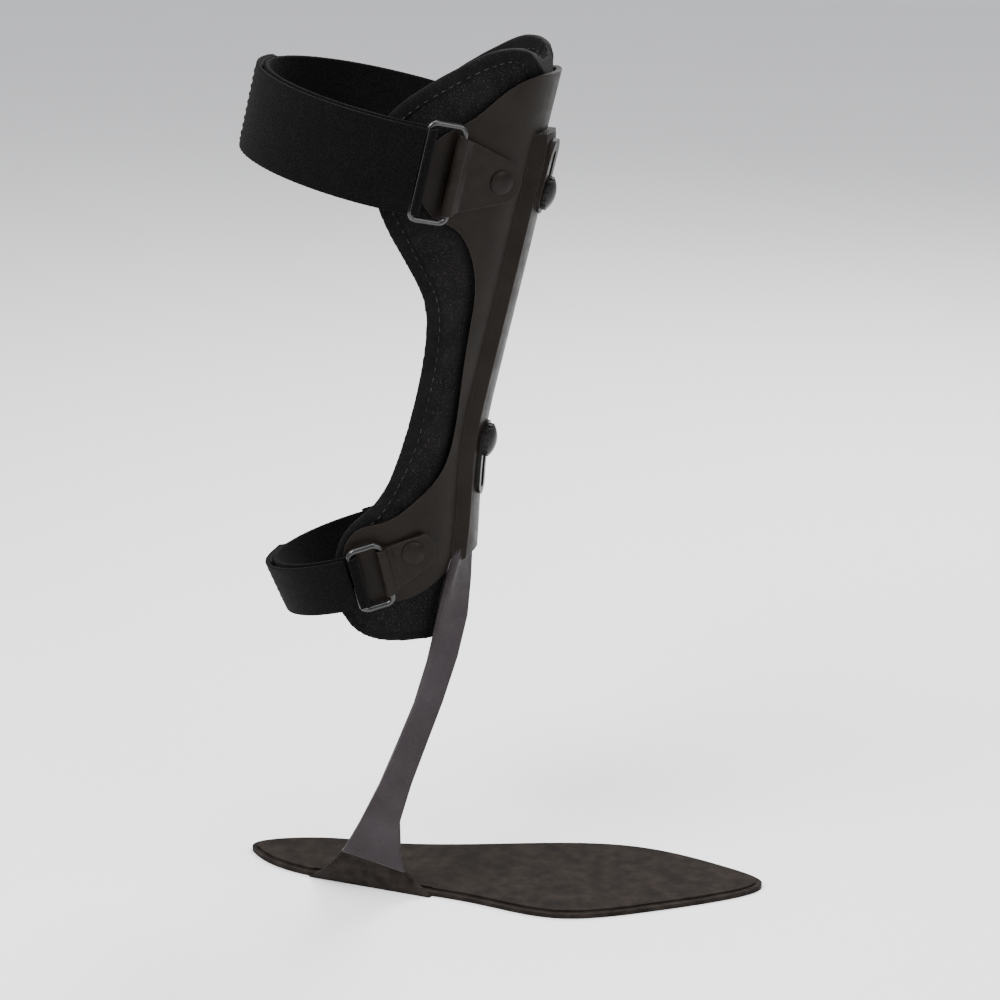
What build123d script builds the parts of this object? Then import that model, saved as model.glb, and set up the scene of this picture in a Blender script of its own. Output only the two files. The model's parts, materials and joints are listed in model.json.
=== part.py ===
from build123d import *
import os
from math import acos, asin, atan, cos, degrees, radians, sin, sqrt, tan

# An ankle foot orthosis for a right foot, in millimetres.
# +X points to the toes, +Z up, -Y to the outer side of the leg, where the strut rises.
# The origin lies on the underside of the foot plate, below the ankle.

# Foot plate
plate_length = 257.0
heel_reach = 77.0            # from the origin back to the heel edge
plate_thickness = 2.2
cover_thickness = 1.0
heel_half_width = 20.0
forefoot_outer = 47.0        # widest reach of the plate to the outer side
forefoot_inner = 43.0
toe_offset = 11.0            # the toe tip lies on the inner side of the X axis
cover_margin = 3.0

# Shin shell: a front arc and two flatter side arcs, leaning forward above a bend
front_radius = 36.0
side_start = 48.0            # degrees round from the front where the side arcs begin
shell_wall = 2.8
bend_height = 223.5
bend_x = 36.5
bend_half = 20.0             # the lean changes over this height either way
lower_lean = 3.4             # degrees forward
upper_lean = 13.7
side_radius_low = 72.0       # side arc radius at the lower rivets
side_radius_high = 108.0     # side arc radius at the upper rivets
cuff_rear = -40.0            # where the untrimmed side arcs stop
section_heights = [112, 128, 144, 160, 176, 190, 203, 214, 224, 234, 244, 257, 274, 294, 316, 340, 364, 388, 412, 430]

# Ridge over the strut
ridge_height = 5.5
ridge_half_width = 10.5
ridge_foot_half = 13.0       # half width where the ridge meets the shell
ridge_top = 371.0
ridge_wall = 2.6

# Strut
strut_thickness = 4.0
strut_width = 18.2           # straight part inside the ridge
strut_top = 360.0
strut_side_gap = 0.5
strut_face_gap = 0.4
lap_top = 42.0               # height of the half-lap between strut and flange
travel = 20.0                # how far the shell can be raised on the strut

# Knobs, clamp nuts and slot strip
knob_radius = 8.0
knob_height = 4.6
shank_radius = 2.5
shank_fit = 0.05             # running clearance in the nut
shank_hole_gap = 0.3
upper_knob_height = 342.6
lower_knob_height = 223.0
nut_length = 12.0
nut_width = 13.0
nut_thickness = 2.0
nut_gap = 1.8                # the strut's bend comes nearer as the shell is raised
boss_rise = 1.2
strip_width = 12.0
strip_thickness = 1.4
strip_low = 196.0
strip_high = 232.5

# Liner
liner_gap = 0.8              # room for the hook pads between shell and liner
liner_thickness = 5.4
binding_width = 6.5
hook_pad_clearance = 0.1

# Straps, tabs and rings (upper and lower rivets stand at these heights)
wire_radius = 1.4
bar_fit = 0.1                # radial play of the ring bar in the tab's fold
ring_corner = 3.6
ring_end_room = 1.2          # from the strap's edge to the inside of the ring
upper_strap_width = 40.0
lower_strap_width = 25.0
lower_strap_tilt = -16.0     # degrees; the upper strap follows the shell's lean
upper_calf_back = -64.0      # X of the upper strap's outer face behind the calf
lower_calf_back = -57.0
upper_widest_share = 0.425   # how far behind the ring the loop is widest, as a share of its reach
lower_widest_share = 0.1
lower_strap_flare = 0.14     # the lower strap leans outward at its top edge, like the leg
strap_thickness = 2.0
strap_bar_gap = 0.7
tab_sheet = 2.0
tab_loop_wall = 1.4
tab_nose = 10.5
tab_standoff = 0.7           # least gap from the tab's flat underside to the curved shell
tab_end_room = 0.6           # from a tab's fold to the inside of the ring, at each end
washer_radius = 4.5
washer_gap = 0.3
rivet_head_radius = 5.5
rivet_head_height = 1.5
rivet_shank_radius = 2.0
rivet_fit = 0.1
rivet_tail_radius = 4.0
rivet_tail_depth = 1.0
head_play = 0.3
patch_thickness = 1.2
patch_length = 32.0
tail_gap = 0.5               # between the hook patch and the strap below it
fold_length = 20.0           # sewn end of the strap at the inner ring
tail_root_gap = 1.5          # where the tail starts to peel, behind the strap's turn
tail_past_middle = 12.0      # how far the tail ends past the back of the calf

out_dir = "parts"
os.makedirs(out_dir, exist_ok=True)


def save(shape, name):
    shape.label = name
    export_step(shape, os.path.join(out_dir, name + ".step"))


# ---------------------------------------------------------------- shin shell surfaces

def front_x(z):
    """X of the shell's outer face on the middle line at height z."""
    low, high = tan(radians(lower_lean)), tan(radians(upper_lean))
    d = z - bend_height
    if d <= -bend_half:
        return bend_x + low * d
    if d >= bend_half:
        return bend_x + high * d
    return bend_x - low * bend_half + low * (d + bend_half) + (high - low) / (4 * bend_half) * (d + bend_half) ** 2


def front_lean(z):
    """Forward lean of the shell's front at height z, in degrees."""
    low, high = tan(radians(lower_lean)), tan(radians(upper_lean))
    share = min(max((z - bend_height + bend_half) / (2 * bend_half), 0), 1)
    return degrees(atan(low + (high - low) * share))


def side_radius(z):
    share = (z - lower_rivet_height) / (upper_rivet_height - lower_rivet_height)
    return side_radius_low + (side_radius_high - side_radius_low) * min(max(share, 0), 1)


def side_centre(z):
    a = radians(side_start)
    gap = front_radius - side_radius(z)
    return front_x(z) - front_radius + gap * cos(a), gap * sin(a)


def cuff_point(z, angle, grow=0.0):
    """Point of the outer side of the shell at an angle round from the front."""
    if angle <= side_start:
        r = front_radius + grow
        return Vector(front_x(z) - front_radius + r * cos(radians(angle)), -r * sin(radians(angle)), z)
    cx, cy = side_centre(z)
    r = side_radius(z) + grow
    return Vector(cx + r * cos(radians(angle)), -cy - r * sin(radians(angle)), z)


def cuff_section(z, grow):
    cx, cy = side_centre(z)
    r = side_radius(z) + grow
    rear = degrees(acos((cuff_rear - cx) / r))
    start, middle, end = [cuff_point(z, a, grow) for a in (side_start, (side_start + rear) / 2, rear)]
    nose = cuff_point(z, 0, grow)
    flip = [Vector(p.X, -p.Y, p.Z) for p in (start, middle, end)]
    edges = [ThreePointArc(end, middle, start), ThreePointArc(start, nose, flip[0])]
    edges += [ThreePointArc(flip[0], flip[1], flip[2]), Line(flip[2], end)]
    return make_face(edges)


def cuff_solid(grow):
    return loft([cuff_section(z, grow) for z in section_heights])


def front_block(half_width, back, front, low, high):
    """Bar that follows the shell's front between two depths measured from its face."""
    heights = [low] + [z for z in section_heights if low + 3 < z < high - 3] + [high]
    faces = []
    for z in heights:
        middle = front_x(z) + (front + back) / 2
        faces.append(Pos(middle, 0, z) * Rectangle(front - back, 2 * half_width))
    return loft(faces)


def side_prism(face):
    """Prism across the leg from a face drawn in the XZ plane."""
    return extrude(Plane.XZ * face, amount=120, both=True)


def moved_inside(points, inset, ring):
    """Points of an anticlockwise line, moved to its inner side."""
    count = len(points)
    moved = []
    for i, point in enumerate(points):
        before = points[i - 1] if ring or i > 0 else point
        after = points[(i + 1) % count] if ring or i < count - 1 else point
        along = (Vector(*after) - Vector(*before)).normalized()
        moved.append(Vector(*point) + Vector(-along.Y, along.X) * inset)
    return moved


def closed_outline(points, inset=0.0):
    """Smooth line through points, closed round the front of the leg."""
    line = moved_inside(points, inset, ring=False)
    first, last = line[0], line[-1]
    front = max(first.X, last.X) + 60
    return [Spline(line), Polyline([last, (front, last.Y), (front, first.Y), first])]


shell_edge = [
    (84, 397), (72, 398.3), (60.4, 392.3), (45.7, 380.2), (32, 372.5), (25, 363), (23.6, 347),
    (28.5, 337.2), (37.5, 330.5), (43.6, 317), (44.4, 299), (41.3, 280), (36.4, 251), (32.1, 226),
    (26.3, 209.5), (15.7, 197.8), (3.7, 190), (-8.5, 186.6), (-14.5, 178), (-12, 161.5), (-4, 152.8),
    (7.6, 150.4), (18, 153), (27, 159.5), (36, 166.5), (48, 172.5),
]
liner_edge = [
    (76, 394), (73.2, 401), (69.5, 408.5), (60, 411), (45, 405.8), (21, 392), (7, 378.5), (1.5, 361),
    (4, 343), (14.3, 318), (22.8, 296), (22.6, 275), (17.3, 248), (9.5, 220.5), (-2.7, 196.5),
    (-14.5, 185), (-20.7, 165), (-18.5, 147), (-9.5, 134.5), (9, 128.6), (40, 124.5),
]

# ---------------------------------------------------------------- strap sites

class StrapSite:
    """Where one strap meets the outer side of the shell, and the strap's own plane."""

    def __init__(self, name, height, rivet_angle, tab_angle, tilt, width, fold, drop, ring_spacing, ring_turn):
        self.name = name
        self.width = width
        self.fold = fold
        self.drop = drop
        self.ring_spacing = ring_spacing
        lean = tan(radians(front_lean(height)))
        a = radians(tab_angle)
        normal = Vector(cos(a), -sin(a), -lean * cos(a)).normalized()
        self.tilt_axis = Vector(sin(radians(tilt)), 0, cos(radians(tilt)))
        bar = (self.tilt_axis - normal * self.tilt_axis.dot(normal)).normalized()
        touch = cuff_point(height, tab_angle) + normal * tab_standoff
        rivet = cuff_point(height, rivet_angle)
        seat = rivet - normal * (rivet - touch).dot(normal)
        # local x runs forward along the tab, y up along the fold, z outward
        self.tab = Plane(origin=seat, x_dir=bar.cross(normal), z_dir=normal)
        self.loop_radius = wire_radius + bar_fit + tab_loop_wall
        self.front_bar = (-fold + self.loop_radius, self.loop_radius)
        turn = radians(ring_turn)
        self.rear_bar = (
            self.front_bar[0] - self.ring_spacing * cos(turn),
            self.front_bar[1] - self.ring_spacing * sin(turn),
        )
        self.ring_turn = ring_turn
        # the strap's plane: local x forward, y to the inner side, z along the tilt axis
        self.strap = Plane(origin=(seat.X, 0, seat.Z), x_dir=Vector(0, 1, 0).cross(self.tilt_axis), z_dir=self.tilt_axis)

    def bar_point(self, place, along=0.0):
        return self.tab.from_local_coords(Vector(place[0], along - self.drop, place[1]))


upper_rivet_height = 351.7
lower_rivet_height = 174.9
upper = StrapSite("upper", upper_rivet_height, 48.0, 51.0, upper_lean, upper_strap_width, 27.4, -0.5, 17.0, 11.0)
lower = StrapSite("lower", lower_rivet_height, 54.9, 62.0, lower_strap_tilt, lower_strap_width, 17.8, 5.0, 15.5, 3.0)


def mirrored(shape):
    return mirror(shape, about=Plane.XZ)


def local_prism(site, face, low, high):
    """Prism along a site's fold direction from a face drawn in its x-z plane."""
    frame = Plane(origin=site.tab.origin, x_dir=site.tab.x_dir, z_dir=-site.tab.y_dir)
    return extrude(frame.offset(-low) * face, amount=low - high)


def tab(site):
    """Plastic tab: a strip folded round the ring's bar and held by one rivet."""
    half = site.width / 2 - tab_end_room
    bar_x, bar_z = site.front_bar
    crease = bar_x + 6.0
    low, high = -site.drop - half, -site.drop + half
    top = 2 * site.loop_radius
    leaf = make_face(Polyline(
        [(bar_x, 0), (tab_nose + 1, 0), (tab_nose + 1, tab_sheet), (crease, tab_sheet), (bar_x, top)], close=True))
    loop = Pos(bar_x, bar_z) * Circle(site.loop_radius)
    bar_hole = Pos(bar_x, bar_z) * Circle(wire_radius + bar_fit)
    body = local_prism(site, leaf + loop - bar_hole, low, high)
    fold_edge = Line((-site.fold - 1, low + 0.01), (-site.fold - 1, high - 0.01))
    plan = make_hull(Circle(tab_nose).edges() + [fold_edge])
    body = body & (site.tab * extrude(plan, amount=top + 2, both=True))
    hole = Cylinder(rivet_shank_radius + rivet_fit, 4 * tab_sheet)
    return body - site.tab * hole


def ring(site):
    """Wire ring: a round-cornered rectangle of round wire."""
    half = site.width / 2 + wire_radius + ring_end_room
    turn = radians(site.ring_turn)
    away = Vector(-cos(turn), 0, -sin(turn))
    start = Vector(site.front_bar[0], -site.drop, site.front_bar[1])
    up = Vector(0, 1, 0)
    corners = [start - up * half, start + up * half]
    corners += [start + up * half + away * site.ring_spacing, start - up * half + away * site.ring_spacing]
    path = FilletPolyline(corners, radius=ring_corner, close=True)
    side = path.edges().sort_by(Axis.Y)[0]
    section = Plane(origin=path @ 0, z_dir=path % 0) * Circle(wire_radius)
    return site.tab * sweep(section, path=path)


def rivet(site):
    """Rivet with a domed head outside and a flush tail inside the shell wall."""
    seat = tab_sheet + head_play
    tail_top = -tab_standoff - shell_wall + rivet_tail_depth + 0.3
    tail = Pos(0, 0, tail_top - rivet_tail_depth) * Cylinder(
        rivet_tail_radius, rivet_tail_depth, align=(Align.CENTER, Align.CENTER, Align.MIN))
    shank = Pos(0, 0, tail_top) * Cylinder(
        rivet_shank_radius, seat - tail_top, align=(Align.CENTER, Align.CENTER, Align.MIN))
    rim = 0.5
    crown = (rivet_head_radius ** 2 + (rivet_head_height - rim) ** 2) / (2 * (rivet_head_height - rim))
    head = Pos(0, 0, seat) * Cylinder(
        rivet_head_radius, rivet_head_height, align=(Align.CENTER, Align.CENTER, Align.MIN))
    head &= Pos(0, 0, seat + rivet_head_height - crown) * Sphere(crown)
    return site.tab * (tail + shank + head)


def rivet_room(site):
    """What the rivet takes out of the shell wall."""
    tail_top = -tab_standoff - shell_wall + rivet_tail_depth + 0.3
    hole = Cylinder(rivet_shank_radius, 20)
    pocket = Pos(0, 0, tail_top) * Cylinder(
        rivet_tail_radius, 6, align=(Align.CENTER, Align.CENTER, Align.MAX))
    return site.tab * (hole + pocket)


def washer(site, shell):
    """Spacer between shell and tab, seated on the curved shell."""
    disc = Pos(0, 0, -washer_gap) * Cylinder(
        washer_radius, 1.5, align=(Align.CENTER, Align.CENTER, Align.MAX))
    disc -= Cylinder(rivet_shank_radius, 10)
    return (site.tab * disc) - shell



def band(site, centre, reach, breadth, flare, thickness):
    """Ring of strap: an elliptical cone between two planes square to the tilt axis."""
    half = site.width / 2
    walls = []
    for grow in (thickness / 2, -thickness / 2):
        ends = []
        for side in (-1, 1):
            spread = grow + side * flare * half
            ends.append(Pos(centre, 0, side * half - site.drop) * Ellipse(reach + spread, breadth + spread))
        walls.append(loft(ends))
    return walls[0] - walls[1]


def region(site, p_low, p_high, q_low, q_high):
    """Block that keeps part of a band: p runs forward and q to the inner side."""
    size = (p_high - p_low, q_high - q_low, 4 * site.width)
    return Pos((p_low + p_high) / 2, (q_low + q_high) / 2, 0) * Box(*size)


class StrapRoute:
    """The strap's ellipse from the outer ring round the calf to the inner ring."""

    def __init__(self, site, calf_back, widest_share, flare):
        self.site = site
        self.flare = flare
        self.bar = site.strap.to_local_coords(site.bar_point(site.rear_bar))
        back = (calf_back - site.strap.origin.X) / abs(site.tilt_axis.Z) + strap_thickness / 2
        self.back = back
        self.centre = (self.bar.X + widest_share * back) / (1 + widest_share)
        self.reach = self.centre - back
        self.gap = wire_radius + strap_bar_gap + strap_thickness / 2
        ahead, across = self.bar.X - self.centre, -self.bar.Y
        self.out = Vector(ahead / self.reach ** 2, 1 / across, 0).normalized()
        bar = Vector(self.bar.X, across, 0)
        self.inner = bar - self.out * self.gap
        self.outer = bar + self.out * self.gap
        self.breadth = self.fit(self.inner, self.reach)
        self.tail_reach = self.reach + strap_thickness + patch_thickness + tail_gap
        self.tail_breadth = self.fit(self.outer, self.tail_reach)
        self.tail_root = self.outer.X - tail_root_gap

    def fit(self, point, reach):
        return point.Y / sqrt(1 - ((point.X - self.centre) / reach) ** 2)

    def turn_round_bar(self):
        """Half turn of the strap round the outer ring's rear bar."""
        site = self.site
        bar_axis = site.tab.y_dir
        forward = site.strap.x_dir * self.out.Y + site.strap.y_dir * self.out.X
        forward = (forward - bar_axis * forward.dot(bar_axis)).normalized()
        frame = Plane(origin=site.bar_point(site.rear_bar), x_dir=forward, z_dir=bar_axis)
        outside, inside = self.gap + strap_thickness / 2, self.gap - strap_thickness / 2
        overlap = 3.0
        turn = (Circle(outside) - Circle(inside)) & (Pos(outside / 2, 0) * Rectangle(outside, 3 * outside))
        leg = Pos(-overlap / 2, self.gap) * Rectangle(overlap, strap_thickness)
        return frame * extrude(turn + leg, amount=site.width / 2, both=True)

    def strap(self):
        site = self.site
        far = 300
        loop = band(site, self.centre, self.reach, self.breadth, self.flare, strap_thickness)
        loop &= region(site, -far, self.inner.X, -far, far)
        fold = band(site, self.centre, self.tail_reach, self.tail_breadth, self.flare, strap_thickness)
        fold &= region(site, self.outer.X - fold_length, self.outer.X + 0.4, 0, far)
        turn = self.turn_round_bar()
        return (site.strap * loop) + turn + mirrored(turn) + (site.strap * fold)

    def tail(self):
        site = self.site
        far = 300
        loop = band(site, self.centre, self.tail_reach, self.tail_breadth, self.flare, strap_thickness)
        side = region(site, -far, self.tail_root, -far, 0)
        end = region(site, -far, self.centre, -1, tail_past_middle)
        return site.strap * (loop & (side + end))

    def fold_line(self):
        """Outer edge of the tail's root, which the tail peels about: a point and a direction."""
        deep, wide = self.tail_reach + strap_thickness / 2, self.tail_breadth + strap_thickness / 2
        y = wide * sqrt(1 - ((self.tail_root - self.centre) / deep) ** 2)
        at = self.site.strap.from_local_coords(Vector(self.tail_root, -y, -self.site.drop))
        along = self.site.tilt_axis - self.site.strap.y_dir * self.flare
        return at, along.normalized()

    def patch(self):
        site = self.site
        middle = (strap_thickness + patch_thickness) / 2
        loop = band(site, self.centre, self.tail_reach - middle, self.tail_breadth - middle, self.flare,
                    patch_thickness)
        end = region(site, -300, self.centre, tail_past_middle - patch_length, tail_past_middle)
        return site.strap * (loop & end)


# ---------------------------------------------------------------- strut and foot plate

# Stations of the strut below the shell: height, angle round the leg, half depth and half width
# of the ellipse it follows, X of that ellipse's middle, angle its face turns outward, width.
strut_stations = [
    (0, 90, 46.0, 28.0, -8.5, 101, 66.0),
    (7, 90, 46.0, 31.8, -8.5, 98, 48.0),
    (14, 89, 48.0, 35.2, -8.3, 94, 37.0),
    (24, 87, 50.0, 38.8, -7.0, 89, 28.0),
    (40, 82, 52.0, 41.6, -7.0, 81, 19.5),
    (60, 72, 52.0, 43.5, -8.0, 73, 15.6),
    (80, 62, 49.0, 43.0, -7.5, 65, 14.6),
    (100, 52, 45.0, 42.0, -5.0, 56, 14.2),
    (120, 42, 41.0, 38.5, -2.5, 44, 16.0),
    (138, 31, 38.0, 36.5, -1.5, 30, 19.5),
    (154, 18, 36.5, 36.5, -2.4, 17, 21.0),
    (168, 7, 36.3, 36.3, -2.8, 7, 19.6),
]
strut_depth = ridge_height - ridge_wall - strut_face_gap - strut_thickness / 2
bond_gap = 0.05
joint_rear = (-30.0, 25.3)   # the bonded joint's line across the outer face, as X and Z
joint_front = (20.0, 10.3)


def strut_faces(near, far, widen, low, high):
    """Sections of the strut between two depths, square to +Z, from one height to another."""
    faces = []
    for z, angle, deep, wide, middle, turn, width in strut_stations:
        if low <= z <= high:
            a = radians(angle)
            place = Location((middle + deep * cos(a), -wide * sin(a), z), (0, 0, -turn))
            faces.append(place * Pos((near + far) / 2, 0) * RectangleRounded(far - near, width + 2 * widen, 0.9))
    for z in [z for z in section_heights if 175 < z < strut_top] + [182, strut_top]:
        if low <= z <= high:
            place = Pos(front_x(z) + strut_depth + (near + far) / 2, 0, z)
            faces.append(place * RectangleRounded(far - near, strut_width + 2 * widen, 0.9))
    return sorted(faces, key=lambda face: face.center().Z)


def below_joint():
    """Everything under the slanted joint line."""
    outline = Polyline([joint_rear, joint_front, (200, joint_front[1]), (200, -60), (-200, -60),
                        (-200, joint_rear[1])], close=True)
    return side_prism(make_face(outline))


def lap_half():
    """Inner half of the strut's thickness, up to the top of the lap."""
    half = strut_thickness / 2
    inner = loft(strut_faces(-half - 1.5, 0, 3, 0, 60), ruled=True)
    return inner & Pos(0, 0, lap_top / 2 - 50) * Box(400, 400, lap_top + 100)


def knob_axis(height):
    """Frame of a knob: z points out of the ridge at that height."""
    lean = radians(front_lean(height))
    outward = Vector(cos(lean), 0, -sin(lean))
    face = Vector(front_x(height) + ridge_height, 0, height)
    return Plane(origin=face, x_dir=Vector(sin(lean), 0, cos(lean)), z_dir=outward)


def slot_room(height, radius, low, high):
    """Slot through the ridge or strut at a knob, along the ridge from low to high."""
    shape = Pos((low + high) / 2, 0) * SlotCenterToCenter(high - low, 2 * radius)
    return extrude(knob_axis(height) * shape, amount=25, both=True)


def strut():
    half = strut_thickness / 2
    bar = loft(strut_faces(-half, half, 0, 0, 500), ruled=True)
    bar -= below_joint()
    bar -= lap_half()
    for height in (upper_knob_height, lower_knob_height):
        bar -= slot_room(height, shank_radius + shank_hole_gap, 0, travel)
    return bar


def plate_outline(inset=0.0):
    """Smooth closed edge of the sole plate, drawn inside itself by an inset."""
    heel = -heel_reach
    toe = heel + plate_length
    points = [
        (heel, 0.8), (-52, -heel_half_width + 1.2), (-28, -25.5), (2, -31), (45, -38),
        (heel + 0.645 * plate_length, -forefoot_outer), (heel + 0.80 * plate_length, -31.5),
        (heel + 0.915 * plate_length, -13.5), (toe, toe_offset), (toe - 19, 26),
        (heel + 0.72 * plate_length, forefoot_inner), (40, 31), (-15, 21.5), (-52, heel_half_width),
    ]
    return Spline(moved_inside(points, inset, ring=True), periodic=True)


def flange():
    """Foot of the strut's lap on the plate, with the thin tongue that backs the strut."""
    half = strut_thickness / 2
    blade = loft(strut_faces(-half, half, 0, 0, 60), ruled=True)
    blade &= Pos(0, 0, lap_top / 2 - 0.1) * Box(400, 400, lap_top)
    outer = loft(strut_faces(-bond_gap, half + 1.5, 3, 0, 60), ruled=True)
    return blade - (outer - below_joint())


def foot_plate():
    """Sole plate in one piece with the flange at its outer edge."""
    return extrude(make_face(plate_outline()), amount=plate_thickness) + flange()


def plate_cover():
    """Thin lining on the plate, cut back round the flange."""
    half = strut_thickness / 2
    inset = make_face(plate_outline(cover_margin))
    cover = Pos(0, 0, plate_thickness) * extrude(inset, amount=cover_thickness)
    return cover - loft(strut_faces(-half - cover_margin, half + 20, cover_margin, 0, 24), ruled=True)


# ---------------------------------------------------------------- shell and what it carries

def strut_room(shell_or_liner):
    """Clear the strut's path through a piece that rides up it."""
    half = strut_thickness / 2
    raised = Vector(sin(radians(upper_lean)), 0, cos(radians(upper_lean)))
    gap = strut_face_gap + 0.2
    room = loft(strut_faces(-half - gap, half + gap, strut_side_gap, 100, 225), ruled=True)
    steps = 5
    for i in range(steps + 1):
        shell_or_liner -= Pos(*(raised * (-travel * i / steps))) * room
    return shell_or_liner


def ridge():
    heights = [z for z in section_heights if 150 < z < ridge_top - 12]
    faces = []
    for z in [148] + heights + [ridge_top - 9, ridge_top]:
        centre = front_x(z) - front_radius
        top = front_radius + ridge_height
        if z > ridge_top - 1:
            top -= 1.6
        mouth = 3.0 * min(max((190 - z) / 40, 0), 1)
        wide, foot = ridge_half_width + mouth, ridge_foot_half + mouth
        a = asin(wide / top)
        base = front_radius - 1.2
        b = asin(foot / base)
        front = [Vector(centre + top * cos(t), top * sin(t), z) for t in (-a, 0, a)]
        back = [Vector(centre + base * cos(t), base * sin(t), z) for t in (b, -b)]
        faces.append(make_face([ThreePointArc(*front), Line(front[2], back[0]), Line(back[0], back[1]),
                                Line(back[1], front[0])]))
    return loft(faces)


def knob_boss(height, low, high, radius, rise):
    """Flat-topped pad on the ridge under a knob."""
    shape = Pos((low + high) / 2, 0) * SlotCenterToCenter(high - low, 2 * radius)
    return extrude(knob_axis(height).offset(-3) * shape, amount=3 + rise)


def shell():
    body = cuff_solid(0) + ridge()
    body += knob_boss(upper_knob_height, -1, 16.5, 9.2, boss_rise)
    body -= cuff_solid(-shell_wall)
    inside = ridge_height - ridge_wall
    body -= front_block(strut_width / 2 + strut_side_gap, -12, inside, 120, strut_top + 4)
    body &= side_prism(make_face(closed_outline(shell_edge)))
    body = strut_room(body)
    body -= slot_room(upper_knob_height, 3.2, 9.5, 17)
    for height in (upper_knob_height, lower_knob_height):
        body -= slot_room(height, shank_radius + shank_hole_gap, 0, 0.01)
    for site in (upper, lower):
        room = rivet_room(site)
        body -= room
        body -= mirrored(room)
    return body


def liner_parts():
    """Padded liner and the tape that binds its edge."""
    outer = shell_wall + liner_gap
    layer = cuff_solid(-outer) - cuff_solid(-outer - liner_thickness)
    whole = side_prism(make_face(closed_outline(liner_edge)))
    core = side_prism(make_face(closed_outline(liner_edge, binding_width)))
    pad = strut_room(layer & core)
    binding = strut_room((layer & whole) - core)
    for height in (upper_knob_height, lower_knob_height):
        room = Box(nut_length + 1, nut_width + 1, nut_thickness + 0.8)
        pad -= knob_axis(height) * Pos(0, 0, nut_depth() - nut_thickness / 2) * room
    return pad, binding


def hook_pads():
    """Hook pads between shell and liner, one behind each wing."""
    layer = cuff_solid(-shell_wall - hook_pad_clearance) - cuff_solid(-shell_wall - liner_gap + hook_pad_clearance)
    keep = []
    for x, z, length, height in ((38, 357, 14, 24), (3, 172, 16, 16)):
        keep.append(Pos(x, z) * RectangleRounded(length, height, 3))
    return layer & side_prism(Sketch(children=keep))


def nut_depth():
    """Depth of a clamp nut's outer face under the ridge's outer face."""
    return -(ridge_wall + strut_face_gap + strut_thickness + nut_gap)


def clamp_nut(height):
    nut = Pos(0, 0, nut_depth()) * Box(
        nut_length, nut_width, nut_thickness, align=(Align.CENTER, Align.CENTER, Align.MAX))
    nut -= Cylinder(shank_radius + shank_fit, 60)
    return knob_axis(height) * nut


def knob(height, seat):
    """Fluted domed knob with the shank that reaches its clamp nut."""
    bottom = nut_depth() - nut_thickness + 0.2
    shank = Pos(0, 0, bottom) * Cylinder(
        shank_radius, seat - bottom, align=(Align.CENTER, Align.CENTER, Align.MIN))
    head = Pos(0, 0, seat) * Cylinder(
        knob_radius, knob_height, align=(Align.CENTER, Align.CENTER, Align.MIN))
    rim = 1.8
    crown = (knob_radius ** 2 + (knob_height - rim) ** 2) / (2 * (knob_height - rim))
    head &= Pos(0, 0, seat + knob_height - crown) * Sphere(crown)
    for flute in PolarLocations(knob_radius + 0.9, 14):
        head -= flute * Cylinder(1.5, 60)
    return knob_axis(height) * (head + shank)


def slot_strip(shell_solid):
    """Dark slotted strip on the ridge under the lower knob."""
    high = strip_high - lower_knob_height
    low = strip_low - lower_knob_height
    strip = front_block(strip_width / 2 + 1, ridge_height - 1, ridge_height + strip_thickness,
                        strip_low - 4, strip_high + 4)
    end = strip_width / 2
    shape = Pos((low + high) / 2, 0) * SlotCenterToCenter(high - low - 2 * end, strip_width)
    strip &= extrude(knob_axis(lower_knob_height) * shape, amount=25, both=True)
    strip -= slot_room(lower_knob_height, shank_radius + shank_hole_gap, low + end, 0)
    return strip - shell_solid


shell_solid = shell()
save(shell_solid, "shell")
save(foot_plate(), "foot_plate")
save(plate_cover(), "plate_cover")
save(strut(), "strut")
liner, liner_binding = liner_parts()
save(liner, "liner")
save(liner_binding, "liner_binding")
save(hook_pads(), "liner_hook_pads")
save(slot_strip(shell_solid), "lower_slot_strip")

for name, height, seat in (
    ("upper", upper_knob_height, boss_rise + head_play),
    ("lower", lower_knob_height, strip_thickness + head_play),
):
    save(clamp_nut(height), name + "_clamp_nut")
    save(knob(height, seat), name + "_knob")

washers = []
for site, calf_back, widest_share, flare in (
    (upper, upper_calf_back, upper_widest_share, 0.0),
    (lower, lower_calf_back, lower_widest_share, lower_strap_flare),
):
    for piece, make in (("tab", tab), ("ring", ring), ("rivet", rivet)):
        outer_piece = make(site)
        save(outer_piece, site.name + "_outer_" + piece)
        save(mirrored(outer_piece), site.name + "_inner_" + piece)
    spacer = washer(site, shell_solid)
    washers += [spacer, mirrored(spacer)]
    route = StrapRoute(site, calf_back, widest_share, flare)
    save(route.strap(), site.name + "_strap")
    save(route.tail(), site.name + "_strap_tail")
    save(route.patch(), site.name + "_hook_patch")
save(Compound(children=washers), "tab_washers")
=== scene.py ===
import json
import math

import bmesh
import bpy
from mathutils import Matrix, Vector, noise
from mathutils.bvhtree import BVHTree
from mathutils.geometry import interpolate_bezier


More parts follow.
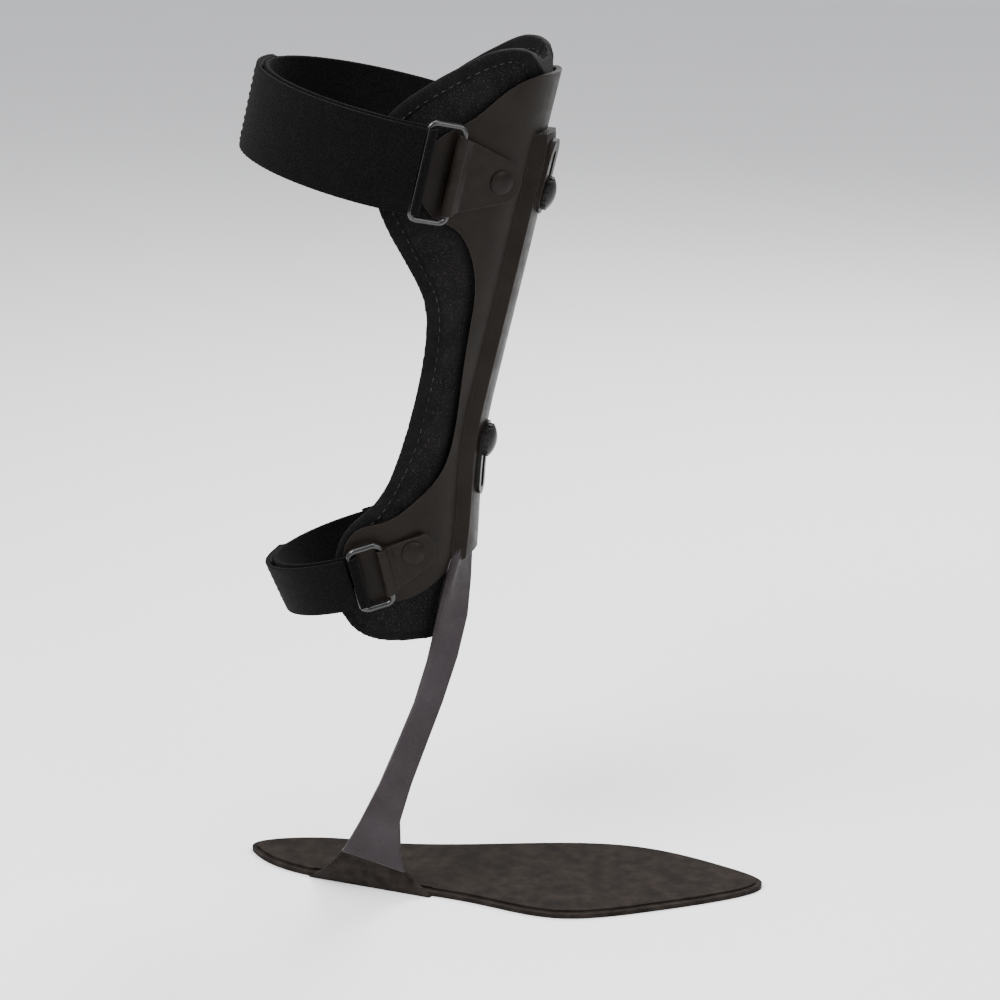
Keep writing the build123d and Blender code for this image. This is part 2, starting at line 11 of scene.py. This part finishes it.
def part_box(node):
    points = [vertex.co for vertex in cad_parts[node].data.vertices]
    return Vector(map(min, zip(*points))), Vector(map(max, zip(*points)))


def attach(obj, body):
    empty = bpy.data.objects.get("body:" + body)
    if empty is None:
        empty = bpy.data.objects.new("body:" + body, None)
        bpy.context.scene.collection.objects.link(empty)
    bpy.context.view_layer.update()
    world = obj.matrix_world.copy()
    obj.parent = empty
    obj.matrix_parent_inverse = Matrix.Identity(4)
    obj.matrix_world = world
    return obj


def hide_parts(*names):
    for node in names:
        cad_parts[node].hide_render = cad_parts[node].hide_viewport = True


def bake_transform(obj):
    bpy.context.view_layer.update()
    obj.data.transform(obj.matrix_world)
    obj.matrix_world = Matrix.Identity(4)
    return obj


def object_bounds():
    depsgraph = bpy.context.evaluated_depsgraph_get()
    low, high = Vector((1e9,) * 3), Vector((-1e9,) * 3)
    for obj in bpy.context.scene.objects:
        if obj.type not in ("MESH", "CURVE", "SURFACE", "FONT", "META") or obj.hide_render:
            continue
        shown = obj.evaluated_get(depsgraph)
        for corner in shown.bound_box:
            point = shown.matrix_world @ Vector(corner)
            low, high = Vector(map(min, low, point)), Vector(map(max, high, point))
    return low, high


MM = 0.001
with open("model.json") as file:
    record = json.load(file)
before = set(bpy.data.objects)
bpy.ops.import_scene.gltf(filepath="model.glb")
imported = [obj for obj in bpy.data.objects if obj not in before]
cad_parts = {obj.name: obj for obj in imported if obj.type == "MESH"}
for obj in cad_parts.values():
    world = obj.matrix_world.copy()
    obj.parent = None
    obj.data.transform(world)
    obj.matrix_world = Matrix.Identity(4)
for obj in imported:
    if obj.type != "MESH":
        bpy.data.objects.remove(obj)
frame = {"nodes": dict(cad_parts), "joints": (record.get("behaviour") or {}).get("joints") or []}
cad_low, cad_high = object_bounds()
scene = bpy.context.scene
nodes = frame["nodes"]

# ---------------------------------------------------------------- camera, light, floor

VIEW_AZIMUTH = 12.0          # degrees from the outer side towards the toes
VIEW_ELEVATION = 16.0
VIEW_DISTANCE = 1.35
VIEW_LENS = 103.5
VIEW_OFFSET = Vector((5 * MM, -24 * MM, -5.5 * MM))   # from the middle of the object's box


def direction(azimuth, elevation):
    a, e = math.radians(azimuth), math.radians(elevation)
    return Vector((math.sin(a) * math.cos(e), -math.cos(a) * math.cos(e), math.sin(e)))


def aim(obj, target):
    obj.rotation_euler = (target - obj.location).to_track_quat("-Z", "Y").to_euler()


middle = (cad_low + cad_high) / 2
target = Vector((middle.x, 0, middle.z)) + VIEW_OFFSET
camera_data = bpy.data.cameras.new("camera")
camera_data.lens = VIEW_LENS
camera_data.sensor_width = 36
camera_data.clip_start = 0.01
camera = bpy.data.objects.new("camera", camera_data)
scene.collection.objects.link(camera)
camera.location = target + direction(VIEW_AZIMUTH, VIEW_ELEVATION) * VIEW_DISTANCE
aim(camera, target)
scene.camera = camera


def area_light(name, azimuth, elevation, distance, size, power):
    data = bpy.data.lights.new(name, "AREA")
    data.shape = "DISK"
    data.size = size
    data.energy = power
    light = bpy.data.objects.new(name, data)
    scene.collection.objects.link(light)
    light.location = target + direction(azimuth, elevation) * distance
    aim(light, target)


area_light("key", -38, 48, 1.5, 0.9, 34)
area_light("fill", 58, 26, 1.7, 1.2, 16)
area_light("rim", 165, 42, 1.5, 0.8, 24)
area_light("top", 20, 86, 1.6, 1.1, 18)

world = bpy.data.worlds.new("world")
scene.world = world
world.use_nodes = True
background = world.node_tree.nodes["Background"]
background.inputs["Color"].default_value = (0.95, 0.96, 1.0, 1)
background.inputs["Strength"].default_value = 0.75

# ---------------------------------------------------------------- materials


class Shader:
    """A Principled material with small helpers for its nodes."""

    def __init__(self, name):
        self.material = bpy.data.materials.new(name)
        self.material.use_nodes = True
        self.tree = self.material.node_tree
        self.bsdf = self.tree.nodes["Principled BSDF"]
        self.where = self.node("ShaderNodeTexCoord").outputs["Object"]

    def node(self, kind, **values):
        made = self.tree.nodes.new(kind)
        for key, value in values.items():
            if key in made.inputs:
                made.inputs[key].default_value = value
            else:
                setattr(made, key, value)
        return made

    def link(self, a, b):
        self.tree.links.new(a, b)

    def set(self, **values):
        for key, value in values.items():
            self.bsdf.inputs[key.replace("_", " ")].default_value = value

    def noise(self, size, detail=3.0, roughness=0.55):
        """Noise whose blobs are about size metres across."""
        made = self.node("ShaderNodeTexNoise", Scale=1 / size, Detail=detail, Roughness=roughness)
        self.link(self.where, made.inputs["Vector"])
        return made.outputs["Fac"]

    def cells(self, size):
        made = self.node("ShaderNodeTexVoronoi", Scale=1 / size)
        self.link(self.where, made.inputs["Vector"])
        return made.outputs["Distance"]

    def wave(self, size, turn):
        """Even ridges size metres apart, along a turned direction."""
        mapping = self.node("ShaderNodeMapping")
        mapping.inputs["Rotation"].default_value = [math.radians(t) for t in turn]
        self.link(self.where, mapping.inputs["Vector"])
        made = self.node("ShaderNodeTexWave", Scale=math.pi / (10 * size), Distortion=0.6)
        self.link(mapping.outputs["Vector"], made.inputs["Vector"])
        return made.outputs["Fac"]

    def spread(self, value, low, high, out_low=0.0, out_high=1.0):
        made = self.node("ShaderNodeMapRange")
        for key, number in (("From Min", low), ("From Max", high), ("To Min", out_low), ("To Max", out_high)):
            made.inputs[key].default_value = number
        self.link(value, made.inputs["Value"])
        return made.outputs["Result"]

    def math(self, operation, a, b):
        made = self.node("ShaderNodeMath", operation=operation)
        for socket, value in zip(made.inputs, (a, b)):
            if isinstance(value, float):
                socket.default_value = value
            else:
                self.link(value, socket)
        return made.outputs[0]

    def mix(self, factor, a, b):
        """Colour a where factor is 0 and b where it is 1."""
        made = self.node("ShaderNodeMix", data_type="RGBA")
        self.link(factor, made.inputs[0])
        for socket, colour in ((made.inputs[6], a), (made.inputs[7], b)):
            if isinstance(colour, tuple):
                socket.default_value = (*colour, 1)
            else:
                self.link(colour, socket)
        return made.outputs[2]

    def edges(self, radius):
        """1 near a sharp edge, 0 on open surfaces, and the rounded normal."""
        bevel = self.node("ShaderNodeBevel", samples=6)
        bevel.inputs["Radius"].default_value = radius
        geometry = self.node("ShaderNodeNewGeometry")
        dot = self.node("ShaderNodeVectorMath", operation="DOT_PRODUCT")
        self.link(bevel.outputs["Normal"], dot.inputs[0])
        self.link(geometry.outputs["Normal"], dot.inputs[1])
        return self.spread(dot.outputs["Value"], 0.995, 0.80), bevel.outputs["Normal"]

    def bump(self, layers, normal=None):
        """layers holds (height, distance in metres) from coarse to fine."""
        for height, distance in layers:
            made = self.node("ShaderNodeBump", Strength=1.0, Distance=distance)
            self.link(height, made.inputs["Height"])
            if normal is not None:
                self.link(normal, made.inputs["Normal"])
            normal = made.outputs["Normal"]
        self.link(normal, self.bsdf.inputs["Normal"])

    def colour(self, output):
        self.link(output, self.bsdf.inputs["Base Color"])

    def rough(self, output):
        self.link(output, self.bsdf.inputs["Roughness"])


def moulded(name, dark, light, scuff_and_edge_highlight, rough_low, rough_high, grain, edge, mottle=14 * MM, coat=0.0):
    """Moulded plastic or laminate: mottle, fine grain, scuffs and a painted highlight along every sharp edge.
    """
    s = Shader(name)
    painted_edge_highlight_mask, rounded = s.edges(edge)
    base = s.mix(s.spread(s.noise(mottle, 4), 0.35, 0.68), dark, light)
    speck = s.spread(s.noise(1.1 * MM, 2), 0.60, 0.74)
    base = s.mix(s.math("MULTIPLY", speck, 0.12), base, scuff_and_edge_highlight)
    # Painted highlight: sharp edges are lightened in noisy patches towards the scuff colour.
    patchy_edge_highlight = s.math("MULTIPLY", painted_edge_highlight_mask, s.spread(s.noise(5 * MM), 0.30, 0.65, 0.35, 1.0))
    s.colour(s.mix(patchy_edge_highlight, base, scuff_and_edge_highlight))
    s.rough(s.spread(s.noise(7 * MM, 5), 0.3, 0.7, rough_low, rough_high))
    s.set(Coat_Weight=coat, Coat_Roughness=0.25, Specular_IOR_Level=0.08)
    s.bump([(s.noise(9 * MM, 2), 0.10 * MM), (s.noise(0.45 * MM, 2), grain)], rounded)
    return s.material


def cloth(name, dark, light, thread, bumps, sheen, fuzz=0.62):
    """Textile: thread pattern, stray light fibres and a soft sheen."""
    s = Shader(name)
    weave = s.math("MULTIPLY", s.wave(thread, (0, 0, 0)), s.wave(thread, (0, 90, 20)))
    tone = s.mix(s.spread(s.noise(11 * MM, 4), 0.35, 0.7), dark, light)
    tone = s.mix(s.math("MULTIPLY", weave, 0.55), tone, light)
    lint = s.spread(s.noise(0.6 * MM, 1), fuzz, fuzz + 0.07)
    fibre = tuple(min(1.0, 4.0 * c + 0.008) for c in light)
    s.colour(s.mix(s.math("MULTIPLY", lint, 0.6), tone, fibre))
    s.rough(s.spread(s.noise(4 * MM), 0.3, 0.7, 0.82, 0.97))
    s.set(Sheen_Weight=sheen, Sheen_Roughness=0.45, Specular_IOR_Level=0.06)
    s.bump([(s.noise(6 * MM), bumps[0]), (weave, bumps[1]), (s.noise(0.5 * MM, 2), bumps[2])])
    return s.material


def loop_pile(name, dark, light):
    """Loop fastener: a dense nap of tiny curled loops."""
    s = Shader(name)
    loops = s.cells(0.75 * MM)
    matted = s.spread(s.noise(8 * MM, 4), 0.35, 0.65)
    tone = s.mix(s.spread(loops, 0.1, 0.6), light, dark)
    s.colour(s.mix(s.math("MULTIPLY", matted, 0.5), tone, dark))
    s.rough(s.spread(loops, 0.0, 0.7, 0.86, 1.0))
    s.set(Sheen_Weight=0.02, Sheen_Roughness=0.5, Specular_IOR_Level=0.04)
    s.bump([(s.noise(5 * MM), 0.25 * MM), (loops, 0.30 * MM), (s.noise(0.35 * MM, 2), 0.14 * MM)])
    return s.material


def metal(name, colour, tint, rough_low, rough_high, metallic, scratch):
    s = Shader(name)
    painted_edge_highlight_mask, rounded = s.edges(0.25 * MM)
    base = s.mix(s.spread(s.noise(6 * MM, 4), 0.4, 0.65), colour, tint)
    # Painted highlight: sharp edges are lightened towards a brighter tint.
    s.colour(s.mix(s.math("MULTIPLY", painted_edge_highlight_mask, 0.4), base, tuple(min(1.0, 2.2 * c) for c in tint)))
    s.rough(s.spread(s.noise(2.5 * MM, 4), 0.3, 0.7, rough_low, rough_high))
    s.set(Metallic=metallic, IOR=1.5)
    s.bump([(s.noise(3 * MM), 0.04 * MM), (s.noise(0.4 * MM), scratch)], rounded)
    return s.material


# The third colour of each is used both for scuffs and for the painted edge highlight.
shell_plastic = moulded("shell_plastic", (0.0059, 0.0042, 0.0030), (0.0092, 0.0069, 0.0053),
                        (0.0374, 0.0324, 0.0288), 0.36, 0.52, 0.020 * MM, 0.55 * MM, coat=0.02)
tab_plastic = moulded("tab_plastic", (0.0063, 0.0046, 0.0035), (0.0097, 0.0075, 0.0059),
                      (0.0432, 0.0382, 0.0346), 0.34, 0.50, 0.018 * MM, 0.5 * MM, mottle=7 * MM, coat=0.02)
rivet_plastic = moulded("rivet_plastic", (0.0056, 0.0040, 0.0032), (0.0087, 0.0067, 0.0054),
                        (0.0375, 0.0330, 0.0300), 0.30, 0.44, 0.012 * MM, 0.3 * MM, mottle=4 * MM, coat=0.03)
strut_composite = moulded("strut_composite", (0.023, 0.0188, 0.0205), (0.032, 0.0268, 0.029),
                          (0.115, 0.104, 0.108), 0.40, 0.56, 0.016 * MM, 0.7 * MM, mottle=22 * MM)
plate_laminate = moulded("plate_laminate", (0.0060, 0.0042, 0.0035), (0.0182, 0.0136, 0.0112),
                         (0.0385, 0.0322, 0.0280), 0.62, 0.82, 0.035 * MM, 0.4 * MM, mottle=6 * MM)
plate_lining = moulded("plate_lining", (0.0079, 0.0058, 0.0048), (0.0218, 0.0169, 0.0142),
                       (0.0338, 0.0285, 0.0255), 0.75, 0.92, 0.060 * MM, 0.25 * MM, mottle=7 * MM)
knob_plastic = moulded("knob_plastic", (0.0048, 0.0042, 0.0040), (0.0085, 0.0076, 0.0072),
                       (0.045, 0.042, 0.040), 0.26, 0.42, 0.014 * MM, 0.35 * MM, mottle=5 * MM, coat=0.05)
nut_metal = metal("nut_metal", (0.50, 0.50, 0.51), (0.60, 0.59, 0.58), 0.28, 0.42, 1.0, 0.010 * MM)
ring_coat = metal("ring_coat", (0.006, 0.006, 0.006), (0.010, 0.0095, 0.0095), 0.14, 0.26, 0.0, 0.008 * MM)
liner_cloth = cloth("liner_cloth", (0.0037, 0.0034, 0.0035), (0.0072, 0.0065, 0.0066), 0.9 * MM,
                    (0.25 * MM, 0.10 * MM, 0.05 * MM), 0.02)
binding_cloth = cloth("binding_cloth", (0.0030, 0.0028, 0.0029), (0.0057, 0.0052, 0.0054), 0.7 * MM,
                      (0.12 * MM, 0.13 * MM, 0.04 * MM), 0.02, fuzz=0.66)
thread_cloth = cloth("thread_cloth", (0.014, 0.013, 0.013), (0.028, 0.026, 0.026), 0.25 * MM,
                     (0.02 * MM, 0.05 * MM, 0.02 * MM), 0.03)
strap_pile = loop_pile("strap_pile", (0.0020, 0.0018, 0.0019), (0.0055, 0.0050, 0.0051))
hook_tape = loop_pile("hook_tape", (0.006, 0.006, 0.006), (0.017, 0.016, 0.016))

NODE_MATERIALS = {
    "shell": shell_plastic, "foot_plate": plate_laminate, "plate_cover": plate_lining,
    "lower_slot_strip": knob_plastic, "tab_washers": rivet_plastic, "liner_hook_pads": hook_tape,
}
for name in nodes:
    for ending, material in (("_tab", tab_plastic), ("_rivet", rivet_plastic), ("_ring", ring_coat),
                             ("_knob", knob_plastic), ("_nut", nut_metal)):
        if name.endswith(ending):
            NODE_MATERIALS[name] = material
for name, material in NODE_MATERIALS.items():
    nodes[name].data.materials.clear()
    nodes[name].data.materials.append(material)

# ---------------------------------------------------------------- soft pieces and the strut

STRUT_PATH = 15 * MM         # half width of the strip behind the strut that stays clear
STRUT_PATH_FADE = 6 * MM
STRUT_LEAVES = 160 * MM      # below this height the strut crosses the liner's outer side


def applied(obj, modifiers):
    """Apply modifiers, given as (type, values), to obj's own mesh."""
    for kind, values in modifiers:
        made = obj.modifiers.new(kind.lower(), kind)
        for key, value in values.items():
            setattr(made, key, value)
    bpy.context.view_layer.update()
    done = bpy.data.meshes.new_from_object(obj.evaluated_get(bpy.context.evaluated_depsgraph_get()))
    obj.modifiers.clear()
    obj.data = done
    return obj


def copy_of(name, sources, material):
    """A new object holding the meshes of these CAD nodes."""
    mesh = bpy.data.meshes.new(name)
    work = bmesh.new()
    for source in sources:
        work.from_mesh(nodes[source].data)
    bmesh.ops.remove_doubles(work, verts=work.verts, dist=0.01 * MM)
    work.to_mesh(mesh)
    work.free()
    mesh.materials.clear()
    mesh.materials.append(material)
    obj = bpy.data.objects.new(name, mesh)
    scene.collection.objects.link(obj)
    return obj


def remeshed(obj, voxel, rounds, material):
    """Voxel remesh and smooth, which rounds the edges as cloth does."""
    applied(obj, [("REMESH", {"mode": "VOXEL", "voxel_size": voxel}),
                  ("SMOOTH", {"factor": 0.5, "iterations": rounds})])
    obj.data.materials.clear()
    obj.data.materials.append(material)
    obj.data.shade_smooth()
    return obj


def strut_share(point):
    """0 where the strut passes close outside the liner, rising to 1 away from it."""
    if point.y > STRUT_PATH:
        return 1.0
    sideways = (-STRUT_PATH - point.y) / STRUT_PATH_FADE
    upward = (point.z - STRUT_LEAVES) / (2 * STRUT_PATH_FADE)
    return min(1.0, max(0.0, sideways)) * min(1.0, max(0.0, upward))


def puff(obj, amount, ripple, size, strut_path=False):
    """Push the surface out by amount, with soft uneven ripples, except beside the strut's path."""
    normals = [v.normal.copy() for v in obj.data.vertices]
    for vertex, normal in zip(obj.data.vertices, normals):
        wobble = noise.noise(vertex.co / size)
        share = strut_share(vertex.co) if strut_path else 1.0
        vertex.co += normal * (amount + ripple * wobble) * share
    obj.data.update()
    return obj


liner = remeshed(copy_of("liner_pad", ["liner", "liner_binding"], liner_cloth), 1.5 * MM, 5, liner_cloth)
puff(liner, -0.15 * MM, 0.28 * MM, 17 * MM, strut_path=True)
binding = remeshed(copy_of("liner_edge_tape", ["liner_binding"], binding_cloth), 0.9 * MM, 4, binding_cloth)
puff(binding, 0.45 * MM, 0.12 * MM, 6 * MM, strut_path=True)
for piece, node, slot in ((liner, "liner", "liner"), (binding, "liner_binding", "binding")):
    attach(piece, "shell")
    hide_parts(node)

# Edge of the padded liner seen from the side, as in the CAD: X and Z in millimetres.
LINER_EDGE = [
    (73.2, 401), (69.5, 408.5), (60, 411), (45, 405.8), (21, 392), (7, 378.5), (1.5, 361),
    (4, 343), (14.3, 318), (22.8, 296), (22.6, 275), (17.3, 248), (9.5, 220.5), (-2.7, 196.5),
    (-14.5, 185), (-20.7, 165), (-18.5, 147), (-9.5, 134.5), (9, 128.6), (40, 124.5),
]
STITCH_INSET = 5.4
STITCH_LENGTH = 2.1 * MM
STITCH_GAP = 1.3 * MM
STITCH_RADIUS = 0.24 * MM
STITCH_BREAK = 6 * MM        # a longer jump between points starts a new row


def smooth_line(points, steps=24):
    """Catmull-Rom line through points."""
    line = []
    for i in range(len(points) - 1):
        p0, p1 = points[max(i - 1, 0)], points[i]
        p2, p3 = points[i + 1], points[min(i + 2, len(points) - 1)]
        line += interpolate_bezier(p1, p1 + (p2 - p0) / 6, p2 - (p3 - p1) / 6, p2, steps)[:-1]
    return line + [points[-1]]


def inset_line(points, inset):
    moved = []
    for i, (x, z) in enumerate(points):
        a, b = points[max(i - 1, 0)], points[min(i + 1, len(points) - 1)]
        along = Vector((b[0] - a[0], 0, b[1] - a[1])).normalized()
        moved.append(Vector((x - along.z * inset, 0, z + along.x * inset)) * MM)
    return moved


def add_stitch(work, a, b, normal):
    """One raised stitch from a to b: a slim six-sided lozenge."""
    along = (b - a).normalized()
    side = along.cross(normal).normalized()
    rings = []
    for share, size in ((0.0, 0.25), (0.2, 0.9), (0.5, 1.15), (0.8, 0.9), (1.0, 0.25)):
        centre = a.lerp(b, share) + normal * STITCH_RADIUS * (0.9 * size - 0.2)
        ring = []
        for k in range(6):
            t = k * math.pi / 3
            offset = side * math.cos(t) + normal * math.sin(t)
            ring.append(work.verts.new(centre + offset * STITCH_RADIUS * size))
        rings.append(ring)
    for low, high in zip(rings, rings[1:]):
        for k in range(6):
            work.faces.new((low[k], low[(k + 1) % 6], high[(k + 1) % 6], high[k]))
    work.faces.new(list(reversed(rings[0])))
    work.faces.new(rings[-1])


def stitch_row(work, hits):
    """Stitches along a run of (point, normal) that lie on a surface."""
    travelled, start = 0.0, None
    previous = None
    for point, normal in hits:
        if previous is not None:
            step = (point - previous).length
            if step > STITCH_BREAK:
                travelled, start = 0.0, None
            travelled += step
        if start is None and travelled >= STITCH_GAP:
            start, travelled = (point, normal), 0.0
        elif start is not None and travelled >= STITCH_LENGTH:
            add_stitch(work, start[0], point, start[1])
            start, travelled = None, 0.0
        previous = point


def finish_stitches(work, name, body):
    bmesh.ops.recalc_face_normals(work, faces=work.faces)
    mesh = bpy.data.meshes.new(name)
    work.to_mesh(mesh)
    work.free()
    mesh.materials.append(thread_cloth)
    mesh.shade_smooth()
    obj = bpy.data.objects.new(name, mesh)
    scene.collection.objects.link(obj)
    if body:
        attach(obj, body)
    return obj


def surface_of(obj):
    work = bmesh.new()
    work.from_mesh(obj.data)
    tree = BVHTree.FromBMesh(work)
    work.free()
    return tree


tape = surface_of(binding)
line = smooth_line(inset_line(LINER_EDGE, STITCH_INSET))
stitching = bmesh.new()
for side in (-1, 1):
    for start, way in ((0.2 * side, -side), (0.0, side)):
        hits = []
        for point in line:
            place, normal, _, _ = tape.ray_cast(Vector((point.x, start, point.z)), Vector((0, way, 0)), 0.2)
            if place is None:
                continue
            faces_leg = normal.y * side < 0 and normal.x < 0
            if faces_leg or strut_share(place) > 0.99:
                hits.append((place, normal))
        stitch_row(stitching, hits)
finish_stitches(stitching, "liner_stitches", "shell")

# Straps: the loops ride with their tabs; the tails lie behind the outer rings, with their hook tape on the
# tail bodies.
STRAP_VOXEL = 0.55 * MM
PILE = (0.06 * MM, 0.05 * MM, 0.8 * MM)   # how far the pile stands out, its ripple and the ripple's size
joints = {j["name"]: j for j in frame["joints"]}
for which in ("upper", "lower"):
    band = copy_of(which + "_pile_strap", [which + "_strap"], strap_pile)
    strap = remeshed(band, STRAP_VOXEL, 3, strap_pile)
    puff(strap, *PILE)
    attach(strap, which + "_strap")
    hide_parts(which + "_strap")
    for ending, source, material, slot in (
        ("_pile_tail", "_strap_tail", strap_pile, "strap"), ("_hook_tape", "_hook_patch", hook_tape, "hook"),
    ):
        piece = remeshed(copy_of(which + ending, [which + source], material), STRAP_VOXEL, 2, material)
        if slot == "strap":
            puff(piece, *PILE)
        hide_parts(which + source)
        if slot == "strap":
            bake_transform(piece)
        else:
            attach(piece, which + "_tail")

# Box stitches: on the tail over its hook tape, and where the strap is sewn back at the inner ring.
STRAP_WIDTHS = {"upper": 40 * MM, "lower": 25 * MM}
STITCH_MARGIN = 3.2 * MM
SAMPLE = 0.25 * MM


def box_path(half_a, half_b):
    """Points round a rectangle, and across it from corner to corner."""
    corners = [(-half_a, -half_b), (half_a, -half_b), (half_a, half_b), (-half_a, half_b), (-half_a, -half_b),
               (half_a, half_b)]
    path = []
    for (a0, b0), (a1, b1) in zip(corners, corners[1:]):
        count = int(math.hypot(a1 - a0, b1 - b0) / SAMPLE)
        path += [(a0 + (a1 - a0) * i / count, b0 + (b1 - b0) * i / count) for i in range(count)]
    return path


for which, width in STRAP_WIDTHS.items():
    up = Vector(joints[which + "_tail_peel"]["axis"])
    half = width / 2 - STITCH_MARGIN
    low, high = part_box(which + "_hook_patch")
    centre = (low + high) / 2
    back = surface_of(bpy.data.objects[which + "_pile_tail"])
    hits, work = [], bmesh.new()
    for across, rise in box_path((high.y - low.y) / 2 - STITCH_MARGIN, half):
        start = Vector((-0.2, centre.y + across, centre.z + rise * up.z))
        place, normal, _, _ = back.ray_cast(start, Vector((1, 0, 0)), 0.4)
        if place is not None:
            hits.append((place, normal))
    stitch_row(work, hits)
    finish_stitches(work, which + "_tail_stitches", which + "_tail")
    low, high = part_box(which + "_inner_ring")
    centre = Vector((low.x - 9 * MM, 0.2, (low.z + high.z) / 2))
    side = surface_of(bpy.data.objects[which + "_pile_strap"])
    hits, work = [], bmesh.new()
    for ahead, rise in box_path(5 * MM, half):
        start = centre + Vector((ahead + rise * up.x, 0, rise * up.z))
        place, normal, _, _ = side.ray_cast(start, Vector((0, -1, 0)), 0.2)
        if place is not None:
            hits.append((place, normal))
    stitch_row(work, hits)
    finish_stitches(work, which + "_fold_stitches", which + "_strap")

# The strut is cut into thin bands where it bends between the foot plate and the shell.
BEND_LOW = 0.060
BEND_HIGH = 0.165
BEND_STEP = 0.004
strut = copy_of("strut_blade", ["strut"], strut_composite)
cuts = bmesh.new()
cuts.from_mesh(strut.data)
level = BEND_LOW
while level < BEND_HIGH:
    bmesh.ops.bisect_plane(cuts, geom=cuts.verts[:] + cuts.edges[:] + cuts.faces[:], dist=1e-7,
                           plane_co=(0, 0, level), plane_no=(0, 0, 1))
    level += BEND_STEP
cuts.to_mesh(strut.data)
cuts.free()
strut.data.shade_smooth()
strut.data.set_sharp_from_angle(angle=math.radians(28))
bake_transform(strut)
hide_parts("strut")

# ---------------------------------------------------------------- floor

floor_mesh = bpy.data.meshes.new("floor")
work = bmesh.new()
bmesh.ops.create_grid(work, x_segments=8, y_segments=8, size=4)
work.to_mesh(floor_mesh)
work.free()
floor = bpy.data.objects.new("floor", floor_mesh)
scene.collection.objects.link(floor)
floor.location = (0, 0, cad_low.z - 0.2 * MM)
paper = Shader("floor_paper")
paper.colour(paper.mix(paper.noise(0.3, 2), (0.90, 0.90, 0.90), (0.93, 0.93, 0.93)))
paper.set(Roughness=0.85)
floor.data.materials.append(paper.material)
